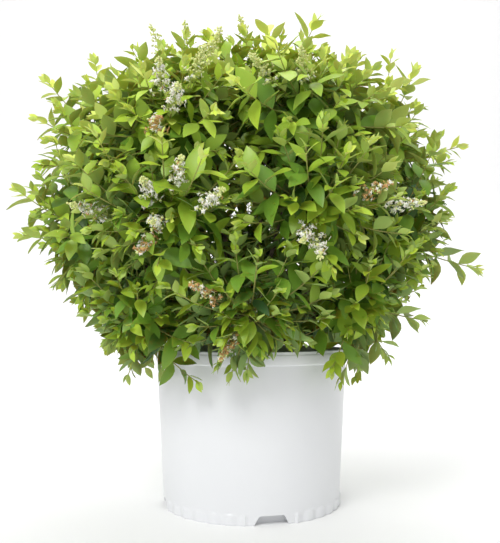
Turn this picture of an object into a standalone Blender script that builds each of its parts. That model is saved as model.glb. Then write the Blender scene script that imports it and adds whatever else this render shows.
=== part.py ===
"""A potted privet: a bushy flowering shrub in a plain white nursery pot.

Metres, +Z up. The origin is the middle of the pot's flat underside, and -Y is the front.
The shrub grows from one short stem. A bough runs from it to each mass of foliage, and a mass
is a core of close growth with twigs, opposite leaves and flower panicles standing out of it.
"""

import math
import random

import bmesh
import bpy
from mathutils import Matrix, Vector

SEED = 4107
GAP = 0.0003

# Pot
POT_HEIGHT = 0.220
RIM_RADIUS = 0.1400
RIM_BAND = 0.018
LIP_RADIUS = 0.1388
WALL_TOP_RADIUS = 0.1378
FOOT_RADIUS = 0.1262
WALL = 0.0025
FLOOR = 0.016
POT_STEPS = 48
RIB_COUNT = 36
RIB_HEIGHT = 0.0155
RIB_RADIUS = 0.0042
RIB_PROUD = 0.0012
NOTCH_COUNT = 4
NOTCH_AZIMUTH = math.radians(-78.0)
NOTCH_FOOT_WIDTH = 0.046
NOTCH_TOP_WIDTH = 0.033
NOTCH_HEIGHT = 0.0125
NOTCH_DEPTH = 0.030

# Soil and short stem
SOIL_TOP = 0.190
SOIL_EDGE_DROP = 0.004
STEM_STEPS = 18
STEM_FLARE = 0.024
# Short stem, from the soil up: height above its foot and radius
STEM_PROFILE = (
    (0.0, STEM_FLARE),
    (0.009, 0.0175),
    (0.026, 0.0150),
    (0.048, 0.0145),
    (0.078, 0.0135),
)
STEM_FOOT = SOIL_TOP + GAP
STEM_TOP = STEM_FOOT + STEM_PROFILE[-1][0]

# Crown: half width at each height, and how far its middle lies to the left of the pot's
CROWN_OUTLINE = (
    (0.165, 0.168),
    (0.215, 0.195),
    (0.260, 0.225),
    (0.310, 0.265),
    (0.370, 0.292),
    (0.440, 0.305),
    (0.500, 0.300),
    (0.560, 0.280),
    (0.600, 0.250),
    (0.635, 0.195),
    (0.662, 0.110),
    (0.680, 0.010),
)
CROWN_SHIFT = Vector((-0.015, 0.0, 0.0))
CROWN_LEEWAY = 0.024
CROWN_HEART = Vector((-0.010, 0.0, 0.360))

# Tiers of foliage: name, masses, height, distance out, first azimuth, height on the stem
TIERS = (
    ("skirt", 7, 0.274, 0.180, -90.0, 0.210),
    ("middle", 7, 0.388, 0.208, -116.0, 0.229),
    ("upper", 6, 0.507, 0.186, -120.0, 0.248),
    ("top", 3, 0.582, 0.074, -60.0, None),
)
TIER_STAGGER = 0.010
CELL_MARGIN = 0.0008
CORE_RADIUS = 0.046
CORE_SHARE = 0.70
CORE_SPIKE = 1.42
CORE_VALLEY = 0.86
CORE_JITTER = 0.08

# Boughs
BOUGH_RADIUS = 0.0042
BOUGH_TIP_RADIUS = 0.0023
BOUGH_POINTS = 6
BOUGH_TO_CORE = 0.022

# Twigs, leaves and panicles, drawn larger than life because there are fewer of them
TWIG_DIRECTIONS = 16
TWIG_RADIUS = 0.0025
TWIG_TIP_RADIUS = 0.0018
TWIG_SIDES = 3
LEAF_LENGTH = 0.070
LEAF_WIDTH = 0.034
LEAF_THICKNESS = 0.0022
LEAF_FOLD = 0.0045
LEAF_SPREAD = math.radians(52.0)
LEAF_STEP = 0.031
LEAF_LIMIT = 21
LEAF_TARGET = 11
PAIRS_PER_TWIG = 2
LIMB_CLEARANCE = 0.0050
PANICLE_LENGTH = 0.052
PANICLE_RADIUS = 0.0095
PANICLE_LOBES = 3

# Shoots that give the outline its furthest tips, each leafy to its end
LONG_SHOOTS = {
    "crest": (0.098, -0.100, 0.686),
    "upper_right": (0.217, 0.000, 0.678),
    "right_shoulder": (0.251, -0.020, 0.646),
    "right_high": (0.314, -0.050, 0.512),
    "right_middle": (0.293, -0.040, 0.412),
    "right_far": (0.338, -0.030, 0.331),
    "right_low": (0.249, -0.060, 0.258),
    "right_droop": (0.190, -0.090, 0.200),
    "front_droop_right": (0.096, -0.150, 0.186),
    "front_droop_left": (-0.030, -0.170, 0.180),
    "left_droop": (-0.162, -0.100, 0.198),
    "left_low": (-0.208, -0.080, 0.227),
    "left_skirt": (-0.282, -0.060, 0.303),
    "left_far": (-0.341, -0.050, 0.382),
    "left_middle": (-0.350, -0.040, 0.455),
    "left_high": (-0.326, -0.040, 0.559),
    "left_shoulder": (-0.316, -0.020, 0.628),
    "upper_left": (-0.236, -0.030, 0.658),
}
# Panicles that stand above the crown
TALL_PANICLES = {
    "crest_left": (-0.155, -0.020, 0.703),
    "crest_middle": (-0.095, -0.050, 0.697),
    "crest_front": (-0.020, -0.080, 0.690),
    "crest_right": (0.026, 0.020, 0.704),
}
# Shoots round the sides and back, spread by rule
BACK_SHOOTS = 11
BACK_SHOOT_REACH = 1.10

LEAF_COLOURS = {
    "skirt": (0.085, 0.185, 0.035, 1.0),
    "middle": (0.130, 0.260, 0.035, 1.0),
    "upper": (0.200, 0.350, 0.035, 1.0),
    "top": (0.280, 0.430, 0.045, 1.0),
}
TWIG_COLOUR = (0.230, 0.150, 0.070, 1.0)
BLOSSOM_COLOUR = (0.800, 0.780, 0.600, 1.0)
BARK_COLOUR = (0.180, 0.130, 0.090, 1.0)
SOIL_COLOUR = (0.040, 0.027, 0.018, 1.0)
POT_COLOUR = (0.900, 0.905, 0.915, 1.0)

LEAF_SLOT, TWIG_SLOT, BLOSSOM_SLOT = 0, 1, 2


def clear_scene():
    for item in list(bpy.data.objects):
        bpy.data.objects.remove(item, do_unlink=True)


def make_collection(name):
    collection = bpy.data.collections.new(name)
    bpy.context.scene.collection.children.link(collection)
    return collection


def make_material(name, colour, roughness, metallic=0.0):
    material = bpy.data.materials.new(name)
    material.use_nodes = True
    shader = material.node_tree.nodes["Principled BSDF"]
    shader.inputs["Base Color"].default_value = colour
    shader.inputs["Roughness"].default_value = roughness
    shader.inputs["Metallic"].default_value = metallic
    material.diffuse_color = colour
    return material


def mesh_object(name, shape, collection, materials):
    mesh = bpy.data.meshes.new(name)
    shape.to_mesh(mesh)
    shape.free()
    item = bpy.data.objects.new(name, mesh)
    for material in materials:
        mesh.materials.append(material)
    collection.objects.link(item)
    return item


def turned_object(name, profile, steps, collection, material):
    """Turn a profile of (radius, height) pairs about Z. It ends on the axis at both ends."""
    shape = bmesh.new()
    points = [shape.verts.new((radius, 0.0, height)) for radius, height in profile]
    for first, second in zip(points, points[1:]):
        shape.edges.new((first, second))
    item = mesh_object(name, shape, collection, [material])
    screw = item.modifiers.new("Turn", 'SCREW')
    screw.axis = 'Z'
    screw.angle = math.tau
    screw.steps = steps
    screw.render_steps = steps
    screw.use_merge_vertices = True
    screw.merge_threshold = 0.00002
    screw.use_smooth_shade = True
    return item


def make_mesh_of(item):
    """Apply an object's modifiers to its own mesh."""
    graph = bpy.context.evaluated_depsgraph_get()
    graph.update()
    mesh = bpy.data.meshes.new_from_object(item.evaluated_get(graph))
    item.modifiers.clear()
    item.data = mesh


def as_cutter(item):
    item.hide_render = True
    item.display_type = 'WIRE'


def wall_radius(height):
    """Outer radius of the pot's plain wall at a height."""
    share = height / (POT_HEIGHT - RIM_BAND)
    return FOOT_RADIUS + (WALL_TOP_RADIUS - FOOT_RADIUS) * share


def build_pot(collection, cutters, material):
    band_foot = POT_HEIGHT - RIM_BAND
    lip_inner = LIP_RADIUS - WALL - 0.0006
    profile = [
        (0.0, FLOOR),
        (wall_radius(FLOOR) - WALL, FLOOR),
        (wall_radius(band_foot) - WALL, band_foot),
        (lip_inner, POT_HEIGHT),
        (LIP_RADIUS, POT_HEIGHT),
        (LIP_RADIUS + 0.0004, POT_HEIGHT - 0.0035),
        (RIM_RADIUS, POT_HEIGHT - 0.0050),
        (RIM_RADIUS - 0.0004, band_foot + 0.0012),
        (WALL_TOP_RADIUS, band_foot),
        (wall_radius(0.110), 0.110),
        (FOOT_RADIUS, 0.0015),
        (FOOT_RADIUS - 0.0015, 0.0),
        (0.0, 0.0),
    ]
    pot = turned_object("pot", profile, POT_STEPS, collection, material)
    make_mesh_of(pot)

    for index in range(NOTCH_COUNT):
        azimuth = NOTCH_AZIMUTH + index * math.tau / NOTCH_COUNT
        shape = bmesh.new()
        bmesh.ops.create_cube(shape, size=1.0)
        for vert in shape.verts:
            width = NOTCH_TOP_WIDTH if vert.co.z > 0 else NOTCH_FOOT_WIDTH
            height = NOTCH_HEIGHT if vert.co.z > 0 else -NOTCH_HEIGHT * 0.2
            if vert.co.z < 0:
                width += 0.2 * (NOTCH_FOOT_WIDTH - NOTCH_TOP_WIDTH)
            vert.co = Vector((vert.co.x * NOTCH_DEPTH, vert.co.y * width, height))
        cutter = mesh_object(f"notch_cutter_{index + 1}", shape, cutters, [material])
        cutter.location = (FOOT_RADIUS * math.cos(azimuth), FOOT_RADIUS * math.sin(azimuth), 0.0)
        cutter.rotation_euler = (0.0, 0.0, azimuth)
        as_cutter(cutter)
        cut = pot.modifiers.new(f"Notch {index + 1}", 'BOOLEAN')
        cut.operation = 'DIFFERENCE'
        cut.object = cutter

    ribs = make_collection("pot_ribs")
    lean = math.atan2(WALL_TOP_RADIUS - FOOT_RADIUS, POT_HEIGHT - RIM_BAND)
    free_angle = math.asin(NOTCH_FOOT_WIDTH / 2 / FOOT_RADIUS) + math.radians(5.0)
    for index in range(RIB_COUNT):
        azimuth = NOTCH_AZIMUTH + (index + 0.5) * math.tau / RIB_COUNT
        from_notch = math.remainder(azimuth - NOTCH_AZIMUTH, math.tau / NOTCH_COUNT)
        if abs(from_notch) < free_angle:
            continue
        shape = bmesh.new()
        bmesh.ops.create_cone(
            shape,
            cap_ends=True,
            segments=6,
            radius1=RIB_RADIUS,
            radius2=RIB_RADIUS * 0.55,
            depth=RIB_HEIGHT,
        )
        bmesh.ops.scale(shape, verts=shape.verts, vec=(0.6, 1.0, 1.0))
        rib = mesh_object(f"rib_{index + 1}", shape, ribs, [material])
        height = RIB_HEIGHT / 2 + 0.0006
        out = wall_radius(height) + RIB_PROUD - 0.6 * RIB_RADIUS * 0.8
        rib.location = (out * math.cos(azimuth), out * math.sin(azimuth), height)
        rib.rotation_euler = (0.0, lean, azimuth)
    join = pot.modifiers.new("Ribs", 'BOOLEAN')
    join.operation = 'UNION'
    join.operand_type = 'COLLECTION'
    join.collection = ribs
    make_mesh_of(pot)
    for item in list(ribs.objects) + list(cutters.objects):
        bpy.data.objects.remove(item, do_unlink=True)
    bpy.data.collections.remove(ribs)
    pot.data.shade_smooth()
    pot.data.set_sharp_from_angle(angle=math.radians(32.0))
    return pot


def build_soil(collection, material):
    edge = SOIL_TOP - SOIL_EDGE_DROP
    foot = FLOOR + GAP
    profile = [
        (0.0, SOIL_TOP),
        (STEM_FLARE + 0.006, SOIL_TOP),
        (0.085, SOIL_TOP - 0.3 * SOIL_EDGE_DROP),
        (wall_radius(edge) - WALL - GAP, edge),
        (wall_radius(foot) - WALL - GAP, foot),
        (0.0, foot),
    ]
    return turned_object("soil", profile, POT_STEPS, collection, material)


def build_stem(collection, material):
    side = [(radius, STEM_FOOT + height) for height, radius in reversed(STEM_PROFILE)]
    profile = [(0.0, STEM_TOP), *side, (0.0, STEM_FOOT)]
    return turned_object("short_stem", profile, STEM_STEPS, collection, material)


def stem_radius(height):
    """Radius of the short stem at a height."""
    above = height - STEM_FOOT
    for (low, near), (high, far) in zip(STEM_PROFILE, STEM_PROFILE[1:]):
        if above <= high:
            return near + (far - near) * (above - low) / (high - low)
    return STEM_PROFILE[-1][1]


def crown_radius(height):
    """Half width of the crown at a height, read between the outline's named levels."""
    if height <= CROWN_OUTLINE[0][0] or height >= CROWN_OUTLINE[-1][0]:
        return 0.0
    for (low, near), (high, far) in zip(CROWN_OUTLINE, CROWN_OUTLINE[1:]):
        if height <= high:
            return near + (far - near) * (height - low) / (high - low)
    return 0.0


def in_crown(point):
    out = point - CROWN_SHIFT
    return math.hypot(out.x, out.y) < crown_radius(point.z) + CROWN_LEEWAY


def clear_of_pot(point):
    return point.z > POT_HEIGHT + 0.004 or math.hypot(point.x, point.y) > RIM_RADIUS + 0.004


def mass_sites():
    """Name, tier, place and height on the stem of each mass of foliage."""
    sites = []
    for tier, count, height, out, first, stem_height in TIERS:
        for index in range(count):
            azimuth = math.radians(first + index * 360.0 / count)
            lift = TIER_STAGGER * (1 if index % 2 else -1)
            place = Vector((out * math.cos(azimuth), out * math.sin(azimuth), height + lift))
            place += CROWN_SHIFT * min(1.0, (height - 0.25) / 0.15)
            sites.append((f"{tier}_{index + 1}", tier, place, stem_height))
    return sites


def cell_planes(index, sites):
    """The planes half way to each other mass, which bound the space of this one."""
    place = sites[index][2]
    planes = []
    for other in range(len(sites)):
        if other == index:
            continue
        towards = sites[other][2] - place
        planes.append((place + towards / 2, towards.normalized()))
    return planes


def room_in_cell(point, planes):
    """How far a point lies inside its mass's space."""
    return min((middle - point).dot(normal) for middle, normal in planes)


def bough_route(start, heading, end):
    """Points on one smooth bend from the stem to a mass."""
    control = start + heading * (end - start).length * 0.5
    route = []
    for step in range(BOUGH_POINTS):
        t = step / (BOUGH_POINTS - 1)
        route.append(start * (1 - t) ** 2 + control * 2 * t * (1 - t) + end * t ** 2)
    return route


def plan_bough(site, core_radius):
    name, tier, place, stem_height = site
    flat = Vector((place.x, place.y, 0.0)).normalized()
    if stem_height is None:
        lean = math.radians(16.0)
        heading = flat * math.sin(lean) + Vector((0.0, 0.0, math.cos(lean)))
        start = flat * 0.0085
        start.z = STEM_TOP + GAP + BOUGH_RADIUS * math.sin(lean)
    else:
        rise = math.atan2(place.z - stem_height, math.hypot(place.x, place.y))
        rise = min(math.radians(72.0), rise + math.radians(20.0))
        heading = flat * math.cos(rise) + Vector((0.0, 0.0, math.sin(rise)))
        inner_edge = stem_height + BOUGH_RADIUS * math.cos(rise)
        out = stem_radius(inner_edge) + GAP + BOUGH_RADIUS * math.sin(rise)
        start = flat * out
        start.z = stem_height
    inward = (start + heading * 0.06 - place).normalized()
    end = place + inward * (core_radius + BOUGH_TO_CORE)
    return bough_route(start, heading, end)


def build_bough(name, route, collection, material):
    curve = bpy.data.curves.new(name, 'CURVE')
    curve.dimensions = '3D'
    curve.bevel_depth = BOUGH_RADIUS
    curve.bevel_resolution = 0
    curve.use_fill_caps = True
    spline = curve.splines.new('POLY')
    spline.points.add(len(route) - 1)
    for index, (point, place) in enumerate(zip(spline.points, route)):
        share = index / (len(route) - 1)
        point.co = (*place, 1.0)
        point.radius = 1.0 + (BOUGH_TIP_RADIUS / BOUGH_RADIUS - 1.0) * share
    curve.materials.append(material)
    item = bpy.data.objects.new(name, curve)
    collection.objects.link(item)
    return item


def distance_to_route(point, route):
    best = math.inf
    for first, second in zip(route, route[1:]):
        along = second - first
        share = (point - first).dot(along) / along.length_squared
        nearest = first + along * max(0.0, min(1.0, share))
        best = min(best, (point - nearest).length)
    return best


def turn_to(direction, upper_side):
    """A turn that takes +X to a direction and +Z towards the upper side."""
    along = direction.normalized()
    across = upper_side.cross(along)
    if across.length < 1e-5:
        across = along.orthogonal()
    across.normalize()
    up = along.cross(across)
    return Matrix((along, across, up)).transposed().to_4x4()


def leaf_shape(length, width, slot):
    """A pointed leaf of eight faces along +X, its halves folded up from the midrib."""
    shape = bmesh.new()
    bmesh.ops.create_uvsphere(shape, u_segments=4, v_segments=2, radius=0.5)
    bmesh.ops.rotate(shape, verts=shape.verts, matrix=Matrix.Rotation(math.pi / 2, 3, 'Y'))
    for vert in shape.verts:
        side = abs(vert.co.y) > 0.25
        middle = abs(vert.co.x) < 0.25
        vert.co.x = (vert.co.x + 0.5 - (0.08 if middle else 0.0)) * length
        vert.co.y *= width
        vert.co.z = LEAF_FOLD if side else vert.co.z * LEAF_THICKNESS
    for face in shape.faces:
        face.material_index = slot
    return shape


def cone_shape(start, end, radius, tip_radius, sides, slot):
    shape = bmesh.new()
    length = (end - start).length
    bmesh.ops.create_cone(
        shape,
        cap_ends=True,
        segments=sides,
        radius1=radius,
        radius2=tip_radius,
        depth=length,
    )
    turn = Matrix.Rotation(math.pi / 2, 4, 'Y')
    lie = turn_to(end - start, Vector((0.13, 0.21, 1.0)))
    matrix = Matrix.Translation((start + end) / 2) @ lie @ turn
    bmesh.ops.transform(shape, matrix=matrix, verts=shape.verts)
    for face in shape.faces:
        face.material_index = slot
    return shape


class Mass:
    """One mass of foliage, grown twig by twig inside its own space."""

    def __init__(self, site, planes, route, other_routes, core_radius, materials):
        self.name, self.tier, self.place, _ = site
        self.planes = planes
        self.route = route
        self.limbs = [route] + other_routes
        self.core_radius = core_radius
        self.materials = materials
        self.chance = random.Random(SEED + sum(ord(letter) * 31 for letter in self.name))
        self.parts = make_collection("growth_" + self.name)
        self.leaves = 0

    def keep(self, label, shape):
        mesh_object(f"{self.name}_{label}", shape, self.parts, self.materials)

    def allows(self, point, long_shoot):
        """Whether a point is in the mass's space and, off the long shoots, in the crown."""
        if room_in_cell(point, self.planes) < CELL_MARGIN:
            return False
        if not long_shoot and not in_crown(point):
            return False
        return clear_of_pot(point)

    def clear_of_limbs(self, point, margin):
        return all(distance_to_route(point, limb) > BOUGH_RADIUS + margin for limb in self.limbs)

    def add_leaf(self, root, direction, upper_side, size, long_shoot):
        if self.leaves >= LEAF_LIMIT:
            return
        length = LEAF_LENGTH * size
        width = LEAF_WIDTH * size
        matrix = Matrix.Translation(root) @ turn_to(direction, upper_side)
        for along in (0.15, 0.3, 0.42, 0.6, 0.8, 1.0):
            half = width / 2 * (along / 0.42 if along < 0.42 else (1.0 - along) / 0.58)
            for across in (-half, 0.0, half):
                point = matrix @ Vector((along * length, across, LEAF_FOLD / 2))
                if not self.allows(point, long_shoot):
                    return
                if not self.clear_of_limbs(point, LIMB_CLEARANCE):
                    return
        shape = leaf_shape(length, width, LEAF_SLOT)
        bmesh.ops.transform(shape, matrix=matrix, verts=shape.verts)
        self.leaves += 1
        self.keep(f"leaf_{self.leaves}", shape)

    def add_panicle(self, root, heading):
        """A tapering head of blossom with small lobes round its foot."""
        tip = root + heading * PANICLE_LENGTH
        shape = cone_shape(root, tip, PANICLE_RADIUS, 0.0016, 5, BLOSSOM_SLOT)
        self.keep(f"panicle_{self.count_parts()}", shape)
        for lobe in range(PANICLE_LOBES):
            turn = Matrix.Rotation(0.4 + lobe * math.tau / PANICLE_LOBES, 3, heading)
            side = turn @ heading.orthogonal().normalized()
            base = root + heading * PANICLE_LENGTH * (0.16 + 0.13 * lobe)
            end = base + (side * 0.9 + heading * 0.5) * PANICLE_LENGTH * (0.42 - 0.07 * lobe)
            if not self.allows(end, True):
                continue
            shape = cone_shape(base, end, PANICLE_RADIUS * 0.42, 0.0026, 4, BLOSSOM_SLOT)
            self.keep(f"lobe_{self.count_parts()}", shape)

    def count_parts(self):
        return len(self.parts.objects)

    def add_twig(self, start, end, long_shoot, ends_in_panicle):
        """A straight twig with opposite pairs of leaves, each pair square to the last."""
        span = end - start
        length = span.length
        heading = span.normalized()
        samples = max(3, int(length / 0.008))
        for step in range(samples + 1):
            point = start + span * step / samples
            outside_core = (point - self.place).length > self.core_radius
            if room_in_cell(point, self.planes) < CELL_MARGIN + TWIG_RADIUS:
                return False
            if not clear_of_pot(point):
                return False
            if outside_core and not self.clear_of_limbs(point, TWIG_RADIUS + 0.001):
                return False
        leaves_before = self.leaves
        across = heading.orthogonal().normalized()
        across.rotate(Matrix.Rotation(self.chance.uniform(0.0, math.pi), 3, heading))
        reach = length - 0.004
        pair = 0
        while reach > 0.012 and pair < PAIRS_PER_TWIG and self.leaves < LEAF_LIMIT:
            node = start + heading * reach
            if (node - self.place).length < self.core_radius * 0.95:
                break
            across.rotate(Matrix.Rotation(math.pi / 2, 3, heading))
            spread = LEAF_SPREAD * (0.72 if pair == 0 and not ends_in_panicle else 1.0)
            size = 0.86 if pair == 0 else self.chance.uniform(0.94, 1.08)
            for side in (1, -1):
                wander = self.chance.uniform(-0.12, 0.12)
                direction = heading * math.cos(spread) + across * side * math.sin(spread)
                direction.z -= 0.12 + wander
                direction.normalize()
                root = node + direction * 0.0002 + heading * 0.0012 * side
                self.add_leaf(root, direction, heading + Vector((0, 0, 0.4)), size, long_shoot)
            pair += 1
            reach -= LEAF_STEP * self.chance.uniform(0.9, 1.1)
        if not ends_in_panicle:
            root = end - heading * 0.005
            side = across.cross(heading) + Vector((0.0, 0.0, 0.3))
            self.add_leaf(root, heading, side, 0.8, long_shoot)
        if self.leaves == leaves_before and not ends_in_panicle:
            return False
        shape = cone_shape(start, end, TWIG_RADIUS, TWIG_TIP_RADIUS, TWIG_SIDES, TWIG_SLOT)
        self.keep(f"twig_{self.count_parts()}", shape)
        if ends_in_panicle:
            self.add_panicle(end - heading * 0.006, heading)
        return True

    def reach_along(self, direction):
        """How far the space and the crown let growth run from the middle of the mass."""
        reach = self.core_radius
        while reach < 0.30:
            point = self.place + direction * (reach + 0.004)
            if not self.allows(point, False):
                break
            reach += 0.004
        return reach

    def grow_core(self):
        shape = bmesh.new()
        bmesh.ops.create_icosphere(shape, subdivisions=2, radius=self.core_radius)
        for vert in shape.verts:
            swell = CORE_SPIKE if len(vert.link_edges) == 5 else CORE_VALLEY
            vert.co *= swell * (1.0 + self.chance.uniform(-CORE_JITTER, CORE_JITTER))
        bmesh.ops.translate(shape, verts=shape.verts, vec=self.place)
        for face in shape.faces:
            face.material_index = LEAF_SLOT
        self.keep("core", shape)

    def grow_twigs(self):
        """Spread twigs evenly about the mass and keep those with the most room outside."""
        outward = (self.place - CROWN_HEART).normalized()
        golden = math.pi * (3.0 - math.sqrt(5.0))
        turn = self.chance.uniform(0.0, math.tau)
        choices = []
        for index in range(TWIG_DIRECTIONS):
            height = 1.0 - 2.0 * (index + 0.5) / TWIG_DIRECTIONS
            flat = math.sqrt(1.0 - height * height)
            angle = turn + golden * index
            direction = Vector((flat * math.cos(angle), flat * math.sin(angle), height))
            direction = (direction + Vector((0.0, 0.0, 0.25))).normalized()
            facing = direction.dot(outward)
            if facing < -0.20:
                continue
            reach = self.reach_along(direction)
            choices.append((reach * (1.2 + facing), direction, reach))
        choices.sort(key=lambda choice: -choice[0])
        for rank, (_, direction, reach) in enumerate(choices):
            if self.leaves >= LEAF_TARGET:
                break
            ends_in_panicle = rank == 1 and self.tier != "skirt"
            spare = PANICLE_LENGTH if ends_in_panicle else LEAF_LENGTH * 0.75
            length = max(self.core_radius + 0.012, reach - spare)
            start = self.place + direction * self.core_radius * 0.45
            self.add_twig(start, self.place + direction * length, False, ends_in_panicle)

    def fuse(self, collection):
        """Join stem, core, twigs, leaves and panicles into one closed body."""
        tip = self.route[-1]
        heading = (self.place - tip).normalized()
        start = tip + heading * (GAP + BOUGH_TIP_RADIUS * 0.1)
        shape = cone_shape(start, self.place, BOUGH_TIP_RADIUS, TWIG_RADIUS, 4, TWIG_SLOT)
        mass = mesh_object("foliage_" + self.name, shape, collection, self.materials)
        join = mass.modifiers.new("Growth", 'BOOLEAN')
        join.operation = 'UNION'
        join.operand_type = 'COLLECTION'
        join.collection = self.parts
        join.solver = 'EXACT'
        make_mesh_of(mass)
        for item in list(self.parts.objects):
            bpy.data.objects.remove(item, do_unlink=True)
        bpy.data.collections.remove(self.parts)
        keep_main_body(mass.data)
        return mass


def keep_main_body(mesh):
    """Drop loose scraps and the walls of sealed hollows, so that one body is left."""
    shape = bmesh.new()
    shape.from_mesh(mesh)
    bmesh.ops.triangulate(shape, faces=shape.faces)
    unseen = set(shape.verts)
    bodies = []
    while unseen:
        seed = unseen.pop()
        body = {seed}
        queue = [seed]
        while queue:
            vert = queue.pop()
            for edge in vert.link_edges:
                other = edge.other_vert(vert)
                if other in unseen:
                    unseen.remove(other)
                    body.add(other)
                    queue.append(other)
        bodies.append(body)
    bodies.sort(key=len, reverse=True)
    loose = [vert for body in bodies[1:] for vert in body]
    bmesh.ops.delete(shape, geom=loose, context='VERTS')
    shape.to_mesh(mesh)
    shape.free()


def back_shoot_tips():
    """Tips of the shoots round the sides and back, a little outside the crown."""
    chance = random.Random(SEED)
    tips = []
    for index in range(BACK_SHOOTS):
        azimuth = math.radians(8.0 + 164.0 * (index + 0.5) / BACK_SHOOTS)
        height = (0.30, 0.62, 0.45, 0.56, 0.36)[index % 5] + chance.uniform(-0.015, 0.015)
        out = crown_radius(height) * BACK_SHOOT_REACH
        tip = Vector((out * math.cos(azimuth), out * math.sin(azimuth), height))
        tips.append(tip + CROWN_SHIFT)
    return tips


def nearest_mass(masses, point):
    return min(masses, key=lambda mass: (mass.place - point).length)


def build_plant(collection, bark, leaf_materials, twig_material, blossom_material):
    sites = mass_sites()
    cells = [cell_planes(index, sites) for index in range(len(sites))]
    radii = [min(CORE_RADIUS, room_in_cell(site[2], cell) * CORE_SHARE)
             for site, cell in zip(sites, cells)]
    routes = [plan_bough(site, radius) for site, radius in zip(sites, radii)]

    masses = []
    for index, site in enumerate(sites):
        build_bough("bough_" + site[0], routes[index], collection, bark)
        others = routes[:index] + routes[index + 1:]
        for other in others:
            room = distance_to_route(site[2], other) - BOUGH_RADIUS - 0.003
            radii[index] = min(radii[index], room / CORE_SPIKE)
        materials = [leaf_materials[site[1]], twig_material, blossom_material]
        masses.append(Mass(site, cells[index], routes[index], others, radii[index], materials))

    for mass in masses:
        mass.grow_core()
    for tips, ends_in_panicle in ((LONG_SHOOTS, False), (TALL_PANICLES, True)):
        for tip in tips.values():
            tip = Vector(tip)
            mass = nearest_mass(masses, tip)
            grow_long_shoot(mass, tip, ends_in_panicle)
    for index, tip in enumerate(back_shoot_tips()):
        mass = nearest_mass(masses, tip)
        grow_long_shoot(mass, tip, index % 3 == 2)
    for mass in masses:
        mass.grow_twigs()
        mass.fuse(collection)


def grow_long_shoot(mass, tip, ends_in_panicle):
    """A twig from the core to an outline tip, whose last leaf or panicle reaches it."""
    direction = (tip - mass.place).normalized()
    spare = PANICLE_LENGTH - 0.006 if ends_in_panicle else LEAF_LENGTH * 0.8 - 0.005
    start = mass.place + direction * mass.core_radius * 0.45
    mass.add_twig(start, tip - direction * spare, True, ends_in_panicle)


def main():
    clear_scene()
    collection = make_collection("potted_privet")
    cutters = make_collection("cutters")
    pot_material = make_material("pot_white", POT_COLOUR, 0.35)
    soil_material = make_material("soil_mix", SOIL_COLOUR, 0.95)
    bark_material = make_material("bark", BARK_COLOUR, 0.85)
    twig_material = make_material("twig", TWIG_COLOUR, 0.70)
    blossom_material = make_material("blossom", BLOSSOM_COLOUR, 0.60)
    leaf_materials = {}
    for tier, colour in LEAF_COLOURS.items():
        leaf_materials[tier] = make_material("leaf_" + tier, colour, 0.50)

    build_pot(collection, cutters, pot_material)
    build_soil(collection, soil_material)
    build_stem(collection, bark_material)
    build_plant(collection, bark_material, leaf_materials, twig_material, blossom_material)


main()
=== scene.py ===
"""The look of a potted privet: leafy shoots, panicles, bark, and a white nursery pot.

The crown grows by the same rule as the solids: a bough runs to each mass of foliage, which
fills the space round its place. Here the shoots are finer, the leaves are about their true size,
and both reach a little into the next mass, so that no empty seam shows between masses.
"""

import math
import random
from collections import namedtuple

import bmesh
import bpy
import numpy as np
from mathutils import Matrix, Vector, noise


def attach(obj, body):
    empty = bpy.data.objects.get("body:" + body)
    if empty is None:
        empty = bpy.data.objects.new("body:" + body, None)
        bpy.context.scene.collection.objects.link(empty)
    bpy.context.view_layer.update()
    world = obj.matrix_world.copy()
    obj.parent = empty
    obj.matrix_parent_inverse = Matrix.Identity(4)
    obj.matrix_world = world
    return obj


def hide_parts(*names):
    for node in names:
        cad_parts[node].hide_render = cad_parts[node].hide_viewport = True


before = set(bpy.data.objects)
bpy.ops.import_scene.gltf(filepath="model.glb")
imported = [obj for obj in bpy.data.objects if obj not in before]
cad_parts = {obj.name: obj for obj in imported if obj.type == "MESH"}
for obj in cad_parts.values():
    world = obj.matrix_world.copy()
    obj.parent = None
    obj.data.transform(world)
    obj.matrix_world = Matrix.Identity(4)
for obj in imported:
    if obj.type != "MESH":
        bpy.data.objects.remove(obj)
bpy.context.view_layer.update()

SEED = 4107
GAP = 0.0003

# Pot, as in the solids
POT_HEIGHT = 0.220
RIM_RADIUS = 0.1400
RIM_BAND = 0.018
LIP_RADIUS = 0.1388
LIP_ROUND = 0.0006
WALL_TOP_RADIUS = 0.1378
FOOT_RADIUS = 0.1262
WALL = 0.0025
FLOOR = 0.016
POT_STEPS = 288
RIB_COUNT = 36
RIB_HEIGHT = 0.0150
RIB_HALF_ANGLE = 0.36
RIB_PROUD = 0.0020
RIB_SHOULDER = 0.72  # share of a rib's height below its arched top
RIB_FADE = 0.0022
RIB_TO_NOTCH = math.radians(4.0)
SIDE_LEVELS = (0.160, 0.110, 0.060)
FOOT_LEVELS = (
    0.0185, 0.0170, 0.0160, 0.0150, 0.0138, 0.0120, 0.0100, 0.0075, 0.0050, 0.0028, 0.0012,
)
NOTCH_COUNT = 4
NOTCH_AZIMUTH = math.radians(-78.0)
NOTCH_FOOT_WIDTH = 0.046
NOTCH_TOP_WIDTH = 0.033
NOTCH_HEIGHT = 0.0125
NOTCH_DEPTH = 0.030
NOTCH_CORNER = 0.0030

# Soil and short stem, as in the solids
SOIL_TOP = 0.190
STEM_FLARE = 0.024
STEM_PROFILE = (
    (0.0, STEM_FLARE),
    (0.009, 0.0175),
    (0.026, 0.0150),
    (0.048, 0.0145),
    (0.078, 0.0135),
)
STEM_FOOT = SOIL_TOP + GAP
STEM_TOP = STEM_FOOT + STEM_PROFILE[-1][0]
STEM_RINGS = 23
STEM_SIDES = 28
SOIL_RINGS = 14
SOIL_STEPS = 96
SOIL_RELIEF = 0.0016
SOIL_GRAIN = 70.0
CHIP_COUNT = 420
CHIP_SIZE = (0.010, 0.0055, 0.0018)
CHIP_TAPER = 0.7

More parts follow.
